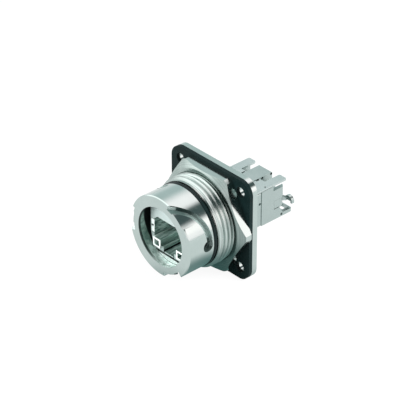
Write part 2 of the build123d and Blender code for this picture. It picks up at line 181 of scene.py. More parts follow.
def soft_step(tree, value, start, end):
    """A smooth step from 0 at a start to 1 at an end."""
    return add_node(tree, "MapRange", {"Value": value, "From Min": start, "From Max": end},
                    interpolation_type="SMOOTHSTEP").outputs[0]


# %% [markdown]
# ## Studio
# Metal shows little colour of its own: it shows the room. The room is a white floor and a world
# with a few long lights that run beside the barrel, as strip softboxes do, and a dark gap between
# two of them, which draws the dark stripe along the barrel. A strip depends on one number only,
# the angle of a ray around the barrel's axis, so every turned face shows the same stripes.
# Two round patches follow: a softbox at the front left, which the slopes of the thread and of the
# nut find, and the dark corner behind the camera, which puts dark lines between ridges.
# Only reflections see the strips, and the light that falls on rubber and plastic stays plain.

# %% Make the world
WHITE, ROOM, DAYLIGHT = (1, 1, 1, 1), (0.72, 0.82, 0.82, 1), (0.62, 0.63, 0.63, 1)
STRIPS = [
    # angle around the axis, half widths in degrees where it is full and where it ends, colour
    ("overhead", 50, 56, 92, (1.80, 1.60, 1.63, 1)),
    ("low side", 25, 5, 17, (2.1, 1.85, 1.85, 1)),
    ("gap", 59, 11, 29, (0.10, 0.14, 0.14, 1)),
    ("horizon", 190, 10, 35, (1.0, 1.05, 1.05, 1)),
]
PATCHES = [
    # direction, angles in degrees where it is full and where it ends, colour
    ("front softbox", (-0.66, -0.48, 0.58), 24, 44, (2.0, 1.95, 1.95, 1)),
    ("dark behind the camera", (0.78, -0.45, 0.42), 16, 34, (0.10, 0.15, 0.15, 1)),
]
world = bpy.data.worlds.new("studio")
bpy.context.scene.world = world
tree = empty_tree(world)
direction = add_node(tree, "TexCoord").outputs["Generated"]
rays = add_node(tree, "LightPath").outputs
colour = add_node(tree, "RGB").outputs[0]
colour.default_value = ROOM
axes = xyz(tree, direction)
angle = maths(tree, "ARCTAN2", axes[Z], axes[X])
for _, middle, full, end, tint in STRIPS:
    away = maths(tree, "ABSOLUTE", maths(tree, "SUBTRACT", angle, math.radians(middle)))
    step = soft_step(tree, away, math.radians(end), math.radians(full))
    colour = mix_colour(tree, step, colour, tint)
for _, middle, full, end, tint in PATCHES:
    along = add_node(tree, "VectorMath", {0: direction, 1: Vector(middle).normalized()},
                     operation="DOT_PRODUCT").outputs["Value"]
    step = soft_step(tree, along, math.cos(math.radians(end)), math.cos(math.radians(full)))
    colour = mix_colour(tree, step, colour, tint)
seen = maths(tree, "MAXIMUM", rays["Is Glossy Ray"], rays["Is Transmission Ray"])
plain = mix_colour(tree, rays["Is Camera Ray"], DAYLIGHT, WHITE)
sky = add_node(tree, "Background", {"Color": mix_colour(tree, seen, plain, colour)})
add_node(tree, "OutputWorld", {"Surface": sky.outputs[0]})
print("strips and patches of light:", [row[0] for row in STRIPS + PATCHES])

# %% [markdown]
# ## Floor and lamps
# The floor is a white sheet under the flange. Rays from the camera and from metal find it almost
# evenly white, and a part of its real shading stays, so the object keeps a soft shadow.
# Metal finds it darker close under the object, where the object itself keeps the light off it.
# That darkens the underside of the barrel, and without it the barrel would look flat.
# Two large area lamps shape the soft pieces: a key from the right and a weaker one from the left.

# %% Make the floor
FLOOR_HALF, GLOW_SHARE = 1500, 0.92
SHADE_X, SHADE_Y, SHADE_FULL, SHADE_END = 4, -8, 8, 24

low = min(corner[Z] for corner in cad_box) / MM
steps = np.linspace(-FLOOR_HALF, FLOOR_HALF, 3)
across, along = np.meshgrid(steps, steps)
flat = np.stack([across, along, low + 0 * across], -1)
floor = mesh_object("floor", flat.reshape(-1, 3), grid_faces(3, 3))
floor_paint = bpy.data.materials.new("floor_white")
tree = empty_tree(floor_paint)
rays = add_node(tree, "LightPath").outputs
direct = maths(tree, "MAXIMUM", rays["Is Camera Ray"], rays["Is Glossy Ray"])
under = Vector((SHADE_X, SHADE_Y, low)) * MM
away = add_node(tree, "VectorMath", {0: object_place(tree), 1: under}, operation="DISTANCE")
open_floor = soft_step(tree, away.outputs["Value"], SHADE_FULL * MM, SHADE_END * MM)
reflected = mix_colour(tree, open_floor, (0.10, 0.22, 0.21, 1), WHITE)
glow = add_node(tree, "Emission", {
    "Color": mix_colour(tree, rays["Is Glossy Ray"], WHITE, reflected)})
chalk = add_node(tree, "BsdfDiffuse", {"Color": (0.9, 0.9, 0.9, 1)})
blend = add_node(tree, "MixShader", {0: maths(tree, "MULTIPLY", direct, GLOW_SHARE),
                                     1: chalk.outputs[0], 2: glow.outputs[0]})
add_node(tree, "OutputMaterial", {"Surface": blend.outputs[0]})
floor.data.materials.append(floor_paint)
print("floor at, mm:", round(low, 2))

# %% Place the lamps
LAMPS = [("key", (330, 150, 320), 260, 4.2), ("fill", (-120, -420, 230), 260, 3.4)]
for name, spot, size, power in LAMPS:
    lamp = bpy.data.objects.new(name, bpy.data.lights.new(name, "AREA"))
    lamp.data.size, lamp.data.energy = size * MM, power
    lamp.location = Vector(spot) * MM
    lamp.rotation_euler = (-lamp.location).to_track_quat("-Z", "Y").to_euler()
    lamp.visible_glossy = False
    bpy.context.collection.objects.link(lamp)
print("lamps:", len(LAMPS))

# %% [markdown]
# ## Patterns for finishes
# Noise breaks up a flat colour, and its size is given in millimetres, as a maker would see it.
# A pattern can also follow a place on the piece, so that a colour changes at a known height or
# depth. `rise` and `fall` do that: each turns a place into a number from 0 to 1.

# %% Make the pattern helpers
finishes = {}


def new_material(name):
    """A material without nodes, kept in the table of finishes, and its node tree."""
    material = bpy.data.materials.new(name + "_finish")
    finishes[name] = material
    return material, empty_tree(material)


def noise(tree, place, size, detail=2.0, rough=0.5):
    """Noise whose lumps are about `size` millimetres across."""
    return add_node(tree, "TexNoise", {"Vector": place, "Scale": 1 / (size * MM),
                                       "Detail": detail, "Roughness": rough}).outputs[0]


def spread(tree, value, low, high, start=0.3, end=0.7):
    """A value between start and end, spread over low to high."""
    return add_node(tree, "MapRange", {"Value": value, "From Min": start, "From Max": end,
                                       "To Min": low, "To Max": high}).outputs[0]


def rise(tree, value, start, end):
    """0 below a start and 1 above an end, both in millimetres."""
    return spread(tree, value, 0, 1, start * MM, end * MM)


def fall(tree, value, start, end):
    """1 below a start and 0 above an end, both in millimetres."""
    return spread(tree, value, 1, 0, start * MM, end * MM)


def tinted(tree, colour, tint):
    """One colour multiplied by another."""
    return mix_colour(tree, 1.0, colour, tint, blend="MULTIPLY")


def finish_shader(tree, colour, rough, height, depth, **sockets):
    """Principled shader with a bump `depth` millimetres deep, and its output."""
    bump = add_node(tree, "Bump", {"Height": height, "Distance": depth * MM, "Strength": 1.0})
    shader = add_node(tree, "BsdfPrincipled", {"Base Color": colour, "Roughness": rough,
                                               "Normal": bump.outputs[0]})
    for key, value in sockets.items():
        shader.inputs[key.replace("_", " ").title()].default_value = value
    add_node(tree, "OutputMaterial", {"Surface": shader.outputs[0]})
    return shader


# %% [markdown]
# ## Metal finishes
# Turned and cast nickel differ in their marks. A lathe leaves rings, so its noise is a function
# of only two numbers, the distance from the axis and the place along it. A mould leaves a fine
# even grain, so its noise is the same in all directions. Both get a slow change of gloss on top,
# because no plated surface is perfectly even. The thread and the nut also show paler and darker
# rings, which a worn tool leaves.

# %% Make the metals
RING_MARKS = 0.38


def lathe_place(tree):
    """Object coordinates folded to (distance from the Y axis, place along it, 0)."""
    axes = xyz(tree, object_place(tree))
    flat = add_node(tree, "CombineXYZ", {0: axes[X], 1: axes[Z]})
    radius = add_node(tree, "VectorMath", {0: flat.outputs[0]}, operation="LENGTH")
    return add_node(tree, "CombineXYZ", {0: radius.outputs["Value"], 1: axes[Y]}).outputs[0]


def metal(name, light, dark, rough, grain, depth, turned=False, share=1.0, lines=0.0):
    """Plated metal: two close colours, a gloss range and marks `grain` millimetres wide.
    A share under 1 is a dull plating, which scatters light in a deep hole as cast metal does.
    Lines are the rings of a worn tool, as a share of the colour."""
    tree = new_material(name)[1]
    place = object_place(tree)
    marks = noise(tree, lathe_place(tree) if turned else place, grain, 3.0, 0.6)
    clouds = noise(tree, place, 4.0, 3.0)
    colour = mix_colour(tree, spread(tree, clouds, 0, 1), dark, light)
    if lines:
        rings = noise(tree, lathe_place(tree), RING_MARKS, 2.0, 0.7)
        shades = mix_colour(tree, spread(tree, rings, 0, 1, 0.36, 0.62),
                            (1 - lines,) * 3 + (1,), (1 + lines,) * 3 + (1,))
        colour = tinted(tree, colour, shades)
    gloss = maths(tree, "ADD", spread(tree, clouds, *rough), spread(tree, marks, -0.03, 0.03))
    finish_shader(tree, colour, gloss, marks, depth, metallic=share)


METALS = {
    # light and dark colour, gloss range, width and depth of the marks in millimetres, the rest
    "turned_nickel": ((0.48, 0.565, 0.545, 1), (0.45, 0.535, 0.515, 1), (0.12, 0.18),
                      0.16, 0.001, {"turned": True}),
    "nut_nickel": ((0.36, 0.43, 0.41, 1), (0.30, 0.37, 0.35, 1), (0.20, 0.28),
                   0.22, 0.003, {"turned": True, "lines": 0.10}),
    "thread_nickel": ((0.45, 0.52, 0.50, 1), (0.38, 0.45, 0.43, 1), (0.20, 0.28),
                      0.22, 0.002, {"turned": True, "lines": 0.30}),
    "cast_nickel": ((0.44, 0.525, 0.51, 1), (0.41, 0.495, 0.48, 1), (0.30, 0.38),
                    0.18, 0.002, {}),
    "nose_nickel": ((0.45, 0.535, 0.52, 1), (0.42, 0.505, 0.49, 1), (0.34, 0.42),
                    0.18, 0.002, {"share": 0.6}),
    "sheet_nickel": ((0.54, 0.62, 0.61, 1), (0.50, 0.58, 0.57, 1), (0.28, 0.36),
                     0.3, 0.001, {}),
    "bright_nickel": ((0.72, 0.79, 0.77, 1), (0.66, 0.74, 0.72, 1), (0.26, 0.34),
                      0.3, 0.001, {"share": 0.3}),
    "guide_nickel": ((0.93, 0.95, 0.94, 1), (0.86, 0.90, 0.89, 1), (0.30, 0.40),
                     0.3, 0.001, {"share": 0.3}),
    "contact_plate": ((0.62, 0.64, 0.58, 1), (0.50, 0.53, 0.49, 1), (0.2, 0.28),
                      0.2, 0.001, {}),
    "tinned_bronze": ((0.72, 0.73, 0.70, 1), (0.60, 0.60, 0.55, 1), (0.26, 0.36),
                      0.2, 0.002, {}),
}
for name, (*looks, extra) in METALS.items():
    metal(name, *looks, **extra)
print("metals:", len(METALS))

# %% [markdown]
# ## Painted shade on the nut
# The nut's colour is painted lighter at the upper left and darker at the lower right, which is
# painted shade. The change runs slantwise, so it follows x - z. It is multiplied into the finished
# colour, which leaves the nut's rings and the other metals alone.

# %% Paint the nut's shade
# These tints paint the nut lighter at the upper left and darker at the lower right, as shade.
NUT_SHADE_START, NUT_SHADE_END = -16, 20
NUT_LIT_TINT, NUT_SHADED_TINT = (1.10, 1.10, 1.10, 1), (0.66, 0.70, 0.70, 1)

tree = finishes["nut_nickel"].node_tree
shader = next(node for node in tree.nodes if node.type == "BSDF_PRINCIPLED")
axes = xyz(tree, object_place(tree))
slope = maths(tree, "SUBTRACT", axes[X], axes[Z])
nut_shade = mix_colour(tree, rise(tree, slope, NUT_SHADE_START, NUT_SHADE_END), NUT_LIT_TINT, NUT_SHADED_TINT)
base = shader.inputs["Base Color"]
tree.links.new(tinted(tree, base.links[0].from_socket, nut_shade), base)
print("nut greyed over, mm:", NUT_SHADE_END - NUT_SHADE_START)

# %% [markdown]
# ## Inside the jack's opening
# Plating gets thin and dull where the bath hardly reaches, and the dark end of the opening's colour
# is also painted shade. The opening shows the streaks of the tool that was drawn out of it, so its
# noise is stretched along the barrel, and its walls get paler further in. A line along the edges of
# its floor is a painted highlight, and the slits beside the latch channel are painted black as
# shadow.

# %% Make the lining of the opening
# Near black that paints shadow in slits and crevices.
SHADE_BLACK = (0.004, 0.008, 0.008, 1)
WALL_DEPTHS, HIGHLIGHT_SIDES, HIGHLIGHT_HEIGHTS = (-15, -10), (5.6, 5.75), (-3.72, -3.62)
SLIT_X, SLIT_WIDTHS, SLIT_HEIGHTS = 2.0, (0.2, 0.3), (-6.8, -6.6)


def drawn_streaks(tree, size):
    """Noise stretched along the barrel: its place is (x, y / 25, z)."""
    drawn = add_node(tree, "VectorMath", {0: object_place(tree), 1: Vector((1, 0.04, 1))},
                     operation="MULTIPLY")
    return noise(tree, drawn.outputs[0], size, 4.0, 0.75)


cavity_nickel, tree = new_material("cavity_nickel")
streaks = drawn_streaks(tree, 0.40)
colour = mix_colour(tree, spread(tree, streaks, 0, 1, 0.38, 0.60), (0.05, 0.095, 0.085, 1),
                    (0.47, 0.60, 0.56, 1))
axes = xyz(tree, object_place(tree))
colour = tinted(tree, colour, mix_colour(tree, rise(tree, axes[Y], *WALL_DEPTHS),
                                         (0.62, 0.70, 0.67, 1), (1.35, 1.45, 1.42, 1)))
side = maths(tree, "ABSOLUTE", axes[X])
# A painted highlight along the edges of the floor.
edge_highlight = maths(tree, "MULTIPLY", rise(tree, side, *HIGHLIGHT_SIDES), fall(tree, axes[Z], *HIGHLIGHT_HEIGHTS))
colour = mix_colour(tree, edge_highlight, colour, (0.75, 0.86, 0.82, 1))
# The slits beside the latch channel are painted black as shadow.
from_slit = maths(tree, "ABSOLUTE", maths(tree, "SUBTRACT", side, SLIT_X * MM))
slit = maths(tree, "MULTIPLY", fall(tree, from_slit, *SLIT_WIDTHS),
             fall(tree, axes[Z], *SLIT_HEIGHTS))
colour = mix_colour(tree, slit, colour, SHADE_BLACK)
finish_shader(tree, colour, spread(tree, streaks, 0.55, 0.38), streaks, 0.01, metallic=0.4)
print("lining of the opening, nodes:", len(tree.nodes))

# %% [markdown]
# ## Inside the bore
# The bore is painted bright at the bottom of its mouth, where light falls in, and painted dark as
# shade at the top, next to the jack and just behind its lip. So its colour follows the height and
# the depth of a place, and a blotchy noise is multiplied over it. The foot of the nose is pale up
# to a sharp line, and black above it, where it lies in the shadow of the nose.

# %% Make the lining of the bore
SHADOW = (0.006, 0.010, 0.010, 1)
BORE_BOTTOM = (0.86, 1.0, 0.95, 1)
BORE_SHADES = [
    # heights where the change to a shade starts and ends, the shade
    (-9.6, -5.6, (0.19, 0.32, 0.27, 1)),
    (-4.5, -1.5, (0.38, 0.56, 0.49, 1)),
    (1.0, 3.5, (0.05, 0.09, 0.08, 1)),
]
LEAN, LEAN_FROM, JACK_DEPTHS = 0.13, -5, (-15.25, -14.95)
LIP_DEPTHS, LIP_LEFT, LIP_RIGHT = (-17.75, -17.4), -6, 1

bore_nickel, tree = new_material("bore_nickel")
place = object_place(tree)
axes = xyz(tree, place)
marks = noise(tree, place, 0.9, 3.0, 0.6)
colour = BORE_BOTTOM
for start, end, shade in BORE_SHADES:
    colour = mix_colour(tree, rise(tree, axes[Z], start, end), colour, shade)
blotch = spread(tree, noise(tree, place, 1.1, 4.0, 0.7), 0, 1, 0.34, 0.60)
colour = tinted(tree, colour, mix_colour(tree, blotch, (0.50, 0.60, 0.57, 1),
                                         (1.2, 1.2, 1.2, 1)))
# The painted shade next to the jack leans forward above a height: y + lean * (z - lean's start).
above = maths(tree, "MAXIMUM", maths(tree, "ADD", axes[Z], -LEAN_FROM * MM), 0)
leaning = maths(tree, "MULTIPLY_ADD", above, LEAN, axes[Y])
colour = mix_colour(tree, rise(tree, leaning, *JACK_DEPTHS), colour, SHADOW)
behind_lip = maths(tree, "MULTIPLY", fall(tree, axes[Y], *LIP_DEPTHS),
                   spread(tree, axes[X], 1, 0.15, LIP_LEFT * MM, LIP_RIGHT * MM))
colour = mix_colour(tree, behind_lip, colour, (0.03, 0.05, 0.045, 1))
finish_shader(tree, colour, spread(tree, marks, 0.34, 0.46), marks, 0.004, metallic=0.35)
print("lining of the bore, nodes:", len(tree.nodes))

# %% Make the finish of the nose's foot
SHADE_HEIGHTS = (-8.52, -8.38)
foot_nickel, tree = new_material("foot_nickel")
place = object_place(tree)
marks = noise(tree, place, 0.5, 3.0, 0.6)
colour = mix_colour(tree, spread(tree, marks, 0, 1), (0.50, 0.58, 0.56, 1), (0.70, 0.77, 0.75, 1))
colour = mix_colour(tree, rise(tree, xyz(tree, place)[Z], *SHADE_HEIGHTS), colour, SHADOW)
finish_shader(tree, colour, spread(tree, marks, 0.30, 0.42), marks, 0.004, metallic=0.5)
print("shadow on the foot from, mm:", SHADE_HEIGHTS)

# %% [markdown]
# ## Grooves and pockets
# A bayonet groove is milled. Its walls and its floor are painted dark along the way in and paler
# near the pocket, which is painted shade, and at the mouth they are painted pale as a highlight,
# but for the outer edge, painted dark as shade. The pocket where a stud comes to rest is dull and
# painted dark as shade, and crevices are painted near black as shade.

# %% Make the linings of the grooves
# Painted shade and highlight: dark walls and floor on the way in, a pale mouth with a dark outer
# edge.
WALL_PALER, FLOOR_PALER, MOUTH_DEPTHS = (-13.6, -11.8), (-15.2, -12.4), (-16.9, -16.5)
OUTER_RADII, OUTER_HEIGHTS = (11.95, 12.1), (0, 2)

groove_wall, tree = new_material("groove_wall")
place = object_place(tree)
axes = xyz(tree, place)
radius = xyz(tree, lathe_place(tree))[0]
marks = noise(tree, place, 0.3, 3.0, 0.6)
colour = mix_colour(tree, rise(tree, axes[Y], *WALL_PALER), (0.030, 0.052, 0.048, 1),
                    (0.36, 0.45, 0.43, 1))
outer_edge_shade = maths(tree, "MULTIPLY", rise(tree, radius, *OUTER_RADII),
                   rise(tree, axes[Z], *OUTER_HEIGHTS))
painted_mouth = mix_colour(tree, outer_edge_shade, (0.52, 0.60, 0.58, 1), (0.02, 0.035, 0.03, 1))
colour = mix_colour(tree, fall(tree, axes[Y], *MOUTH_DEPTHS), colour, painted_mouth)
finish_shader(tree, colour, spread(tree, marks, 0.24, 0.34), marks, 0.002, metallic=0.6)

groove_floor, tree = new_material("groove_floor")
place = object_place(tree)
marks = noise(tree, place, 0.2, 3.0, 0.6)
colour = mix_colour(tree, rise(tree, xyz(tree, place)[Y], *FLOOR_PALER),
                    (0.09, 0.14, 0.13, 1), (0.37, 0.47, 0.445, 1))
finish_shader(tree, colour, spread(tree, marks, 0.26, 0.34), marks, 0.002, metallic=0.5)
print("groove floor pales over, mm:", FLOOR_PALER)

# %% Make the dark of pockets and crevices
# The pocket's dark colour is painted shade.
pocket_dark, tree = new_material("pocket_dark")
marks = noise(tree, object_place(tree), 0.4, 3.0, 0.6)
colour = mix_colour(tree, spread(tree, marks, 0, 1), (0.03, 0.05, 0.046, 1),
                    (0.09, 0.13, 0.12, 1))
finish_shader(tree, colour, spread(tree, marks, 0.4, 0.5), marks, 0.002, metallic=0.5)

# Crevices are painted near black, a painted shade.
crevice, tree = new_material("crevice")
crevice_noise = noise(tree, object_place(tree), 0.4)
colour = mix_colour(tree, crevice_noise, SHADE_BLACK, (0.012, 0.018, 0.018, 1))
finish_shader(tree, colour, spread(tree, crevice_noise, 0.6, 0.75), crevice_noise, 0.003)
print("finishes so far:", len(finishes))

# %% [markdown]
# ## Rubber, plastic and laminate
# Rubber is dark and scatters little, so its look is in the weak wide gloss. Moulded plastic has a
# spark-eroded grain. The circuit board is a green lacquer over a woven glass sheet, and the weave
# is two crossed waves that show faintly through it.

# %% Make the soft and moulded finishes
def moulded(name, light, dark, rough, grain, depth, level):
    """Rubber or plastic: two close colours, a gloss range, an even grain and a gloss level."""
    tree = new_material(name)[1]
    place = object_place(tree)
    marks = noise(tree, place, grain, 2.0)
    clouds = noise(tree, place, 5.0, 3.0)
    colour = mix_colour(tree, spread(tree, clouds, 0, 1), dark, light)
    shader = finish_shader(tree, colour, spread(tree, clouds, *rough), marks, depth)
    shader.inputs["Specular IOR Level"].default_value = level


moulded("gasket_rubber", (0.004, 0.012, 0.012, 1), (0.002, 0.007, 0.007, 1), (0.42, 0.55),
        0.12, 0.004, 0.08)
moulded("ring_rubber", (0.004, 0.010, 0.010, 1), (0.002, 0.006, 0.006, 1), (0.26, 0.34),
        0.2, 0.002, 0.14)
moulded("grey_plastic", (0.30, 0.36, 0.35, 1), (0.24, 0.30, 0.29, 1), (0.42, 0.55),
        0.15, 0.004, 0.5)

tree = new_material("dark_plastic")[1]
streaks = drawn_streaks(tree, 0.45)
colour = mix_colour(tree, spread(tree, streaks, 0, 1, 0.36, 0.64), (0.018, 0.035, 0.030, 1),
                    (0.13, 0.19, 0.17, 1))
finish_shader(tree, colour, spread(tree, streaks, 0.42, 0.55), streaks, 0.01)

WEAVE = 0.45
tree = new_material("board_laminate")[1]
place = object_place(tree)
# A wave texture of scale 0.314 repeats once in a metre, so this one repeats once in WEAVE.
waves = [add_node(tree, "TexWave", {"Vector": place, "Scale": 0.314 / (WEAVE * MM)},
                  bands_direction=way).outputs["Fac"] for way in "XZ"]
weave = maths(tree, "MULTIPLY", *waves)
lacquer = mix_colour(tree, weave, (0.012, 0.07, 0.035, 1), (0.02, 0.11, 0.05, 1))
finish_shader(tree, lacquer, spread(tree, weave, 0.25, 0.4, 0, 1), weave, 0.004)
print("finishes:", sorted(finishes))

# %% [markdown]
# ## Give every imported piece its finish
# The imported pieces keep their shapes, so a finish only goes into their material slots. A table
# from finish to names is easier to read and to change than a line for each piece.

# %% Assign the finishes
FINISHES = {
    "nut_nickel": ["panel_nut"],
    "turned_nickel": ["bulkhead_housing"],
    "nose_nickel": ["port_frame"],
    "cast_nickel": ["module_body", "rear_cover", "wire_block", "tie_yoke"],
    "sheet_nickel": ["latch_plate"],
    "bright_nickel": ["shield_spring_left", "shield_spring_right"],
    "guide_nickel": ["latch_guide_left", "latch_guide_right"],
    "contact_plate": [f"contact_spring_{k}" for k in range(1, 9)],
    "tinned_bronze": [f"terminal_{k}" for k in range(1, 9)],
    "gasket_rubber": ["flange_gasket"],
    "ring_rubber": ["coupling_ring"],
    "dark_plastic": ["contact_carrier"],
    "grey_plastic": ["terminal_block"],
    "board_laminate": ["circuit_board"],
}
for finish, names in FINISHES.items():
    for name in names:
        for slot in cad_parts[name].material_slots:
            slot.material = finishes[finish]
print("packed pieces with a finish:", sum(map(len, FINISHES.values())))

# %% [markdown]
# ## Rounded edges
# A cast or tumbled piece has no knife edge, and the thin bright line that a rounded edge catches
# tells the eye that it is metal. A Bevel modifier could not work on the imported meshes, because
# their triangles aren't joined. So each of these pieces is copied, merged, freed of the edges
# that lie within a flat face, and then bevelled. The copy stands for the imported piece.

# %% Round the cast and stamped pieces
ROUNDING = {"port_frame": 0.05, "module_body": 0.18, "rear_cover": 0.14, "wire_block": 0.14,
            "tie_yoke": 0.10, "latch_plate": 0.10, "latch_guide_left": 0.08,
            "latch_guide_right": 0.08, "shield_spring_left": 0.05, "shield_spring_right": 0.05}
MERGE_WITHIN, FLAT_WITHIN, EDGE_FROM = 0.002, math.radians(0.5), math.radians(35)


def stand_in(node, ending):
    """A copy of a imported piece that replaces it, rides on its body and keeps its slot."""
    thing = bpy.data.objects.new(node + ending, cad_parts[node].data.copy())
    bpy.context.collection.objects.link(thing)
    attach(thing, "root")
    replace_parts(thing, node)
    return thing


def round_edges(thing, width):
    """Merge a copy's triangles into whole faces and round its edges, width in millimetres."""
    mesh = thing.data
    mesh.attributes.remove(mesh.attributes["custom_normal"])
    shell = bmesh.new()
    shell.from_mesh(mesh)
    bmesh.ops.remove_doubles(shell, verts=shell.verts, dist=MERGE_WITHIN * MM)
    bmesh.ops.dissolve_limit(shell, angle_limit=FLAT_WITHIN, verts=shell.verts,
                             edges=shell.edges, delimit={"NORMAL"})
    shell.to_mesh(mesh)
    shell.free()
    mesh.shade_smooth()
    bevel = thing.modifiers.new("round", "BEVEL")
    bevel.width, bevel.segments = width * MM, 2
    bevel.limit_method, bevel.angle_limit = "ANGLE", EDGE_FROM
    bevel.harden_normals = True
    bevel.miter_outer = "MITER_ARC"
    return thing


rounded = {node: round_edges(stand_in(node, "_rounded"), width)
           for node, width in ROUNDING.items()}
print("rounded pieces:", len(rounded))

# %% [markdown]
# ## Two finishes on one piece
# The plating inside a deep hole is dull, because the tumbling media never polish it. So the faces
# of a deep place get a material slot of their own. They are found by their middles and their
# normals, which is why both are read into arrays first.

# %% Read, move and line a mesh
def face_table(mesh):
    """Middles and normals of a mesh's faces, middles in millimetres."""
    table = np.empty((2, len(mesh.polygons) * 3), np.float32)
    mesh.polygons.foreach_get("center", table[0])
    mesh.polygons.foreach_get("normal", table[1])
    return table[0].reshape(-1, 3) / MM, table[1].reshape(-1, 3)


def mesh_points(mesh):
    """A mesh's points as rows of x, y, z in millimetres."""
    points = np.empty(len(mesh.vertices) * 3, np.float32)
    mesh.vertices.foreach_get("co", points)
    return points.reshape(-1, 3) / MM


def put_points(mesh, points):
    """Points in millimetres back into a mesh."""
    mesh.vertices.foreach_set("co", (points * MM).astype(np.float32).ravel())
    mesh.update()


def from_axis(points):
    """Distance from the barrel's axis: the root of x squared plus z squared."""
    return np.hypot(points[:, X], points[:, Z])


def around_axis(points):
    """Angle around the barrel's axis in degrees, from X towards Z."""
    return np.degrees(np.arctan2(points[:, Z], points[:, X]))


def to_radius(points, chosen, radius):
    """Move the chosen points straight in or out to a radius: x and z times new over old."""
    factor = radius / from_axis(points[chosen])
    points[chosen] *= np.where([1, 0, 1], factor[:, None], 1)


def between(values, low, high):
    """Which values lie between two limits."""
    return (values > low) & (values < high)


def along_barrel(normal, limit=0.5):
    """Which faces run along the barrel, not across it."""
    return np.abs(normal[:, Y]) < limit


def line_faces(thing, linings):
    """Add each lining as a slot, and give it to the faces that its test chose."""
    slots = np.zeros(len(thing.data.polygons), np.int32)
    for number, (lining, chosen) in enumerate(linings, 1):
        thing.data.materials.append(lining)
        slots[chosen] = number
    thing.data.polygons.foreach_set("material_index", slots)
    print(thing.name, "faces by slot:", np.bincount(slots).tolist())


# %% [markdown]
# ## The nose, its guides and its springs
# The walls of the opening get the drawn lining and the foot its pale one. The slits, the outer
# sides of the nose and the seats behind the springs' tabs are crevices, painted near black as
# shade.
# A guide is a square frame, so its hole and its sides are dull, and a spring is dull but for the
# tab over the nose's face.

# %% Line the nose
SKIN, WALLS_FROM, OUTER_SIDE, FOOT_TOP, FORWARD = 0.02, -15.3, 6.6, -7.6, -0.9
SLIT_SIDES, SLIT_TOP, SLIT_BACK = (1.8, 2.2), -7.02, -6.5
SEAT_SIDES, SEAT_HEIGHTS, SEAT_BACK = (5.97, 7.3), (-3.05, 1.95), 0.5

jack = rounded["port_frame"]
middle, normal = face_table(jack.data)
side, depth, height = np.abs(middle[:, X]), middle[:, Y], middle[:, Z]
front = depth.min()
in_slit = between(side, *SLIT_SIDES) & (height < SLIT_TOP) & (depth < SLIT_BACK)
on_side = (side > OUTER_SIDE) & along_barrel(normal)
in_seat = (between(side, *SEAT_SIDES) & between(height, *SEAT_HEIGHTS)
           & between(depth, front + SKIN, front + SEAT_BACK))
line_faces(jack, [(cavity_nickel, (depth > WALLS_FROM) & along_barrel(normal)),
                  (crevice, in_slit | on_side | in_seat),
                  (foot_nickel, (height < FOOT_TOP) & (normal[:, Y] < FORWARD))])

# %% Line the guides and the springs
HOLE_HALF, TAB_BACK = 1.0, 0.3
for side_name in ("left", "right"):
    guide = rounded["latch_guide_" + side_name]
    middle, normal = face_table(guide.data)
    low, high = middle.min(0), middle.max(0)
    from_middle = np.abs(middle - (low + high) / 2)
    in_hole = ((from_middle[:, X] < HOLE_HALF) & (from_middle[:, Z] < HOLE_HALF)
               & (middle[:, Y] > low[Y] + SKIN))
    line_faces(guide, [(cavity_nickel, along_barrel(normal) | in_hole)])
    spring = rounded["shield_spring_" + side_name]
    depth = face_table(spring.data)[0][:, Y]
    line_faces(spring, [(cavity_nickel, depth > depth.min() + TAB_BACK)])

# %% [markdown]
# ## The housing
# The housing's copy is turned down to the root of the thread, where the thread will sit. The
# tapered lead-ins at its rim end where their groove begins, and the upper one runs out a little
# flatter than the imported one. The three grooves are 120 degrees apart, so one test finds all
# three when angles are taken modulo 120.

# %% Turn the housing down
ROOT_R, CREST_R, BARREL_R, UNDER_ROOT, THIRD_TURN = 12.58, 13.42, 12.4, 0.03, 120
THREAD_DEPTHS, THREAD_RADII = (-8.4, 1.3), (12.6, 13.6)
LEAD_IN_BACK, LEAD_IN_RADII, LEAD_IN_ANGLES = -15, (11.05, 12.39), (35, 73)
EDGE_Y, EDGE_ANGLE, EDGE_SLOPE, EDGE_FIRST = -15.55, 60.2, 0.24, 57
UPPER_FROM, FLATTER = 3, 0.25

housing = stand_in("bulkhead_housing", "_turned")
points = mesh_points(housing.data)
radius, depth, angle = from_axis(points), points[:, Y], around_axis(points) % THIRD_TURN
threaded = between(depth, *THREAD_DEPTHS) & between(radius, *THREAD_RADII)
tapered = ((depth < LEAD_IN_BACK) & between(radius, *LEAD_IN_RADII)
           & between(angle, *LEAD_IN_ANGLES))
above_groove = (tapered & (depth > EDGE_Y - EDGE_SLOPE * (angle - EDGE_ANGLE))
                & (angle > EDGE_FIRST))
upper = tapered & ~above_groove & (points[:, Z] > UPPER_FROM)
flatter = radius[upper] + FLATTER * (BARREL_R - radius[upper])
to_radius(points, threaded, ROOT_R - UNDER_ROOT)
to_radius(points, above_groove, BARREL_R)
to_radius(points, upper, flatter)
put_points(housing.data, points)
round_edges(housing, 0.07)
print("points moved:", [int(chosen.sum()) for chosen in (threaded, above_groove, upper)])

# %% [markdown]
# ## Grooves found by place and slope
# `outwards` is the share of a face's normal that points away from the axis: 1 on the floor of a
# groove and about 0 on its walls. A pocket is a disc on the barrel, unrolled flat: its centre is
# found from the angle to the nearest pocket, as an arc's length, and from the depth.

# %% Line the housing
BORE_R, GROOVE_DEPTHS, GROOVE_R = 9.85, (-18.4, -9.9), 12.36
FLOOR_R, FOOT_OF_WALL, FLOOR_LIKE, WALL_LIKE = 11.0, 10.75, 0.98, 0.4
POCKET_Y, POCKET_PATH_R, POCKET_R, FAR_WALL = -12.0, 11.6, 1.95, -3

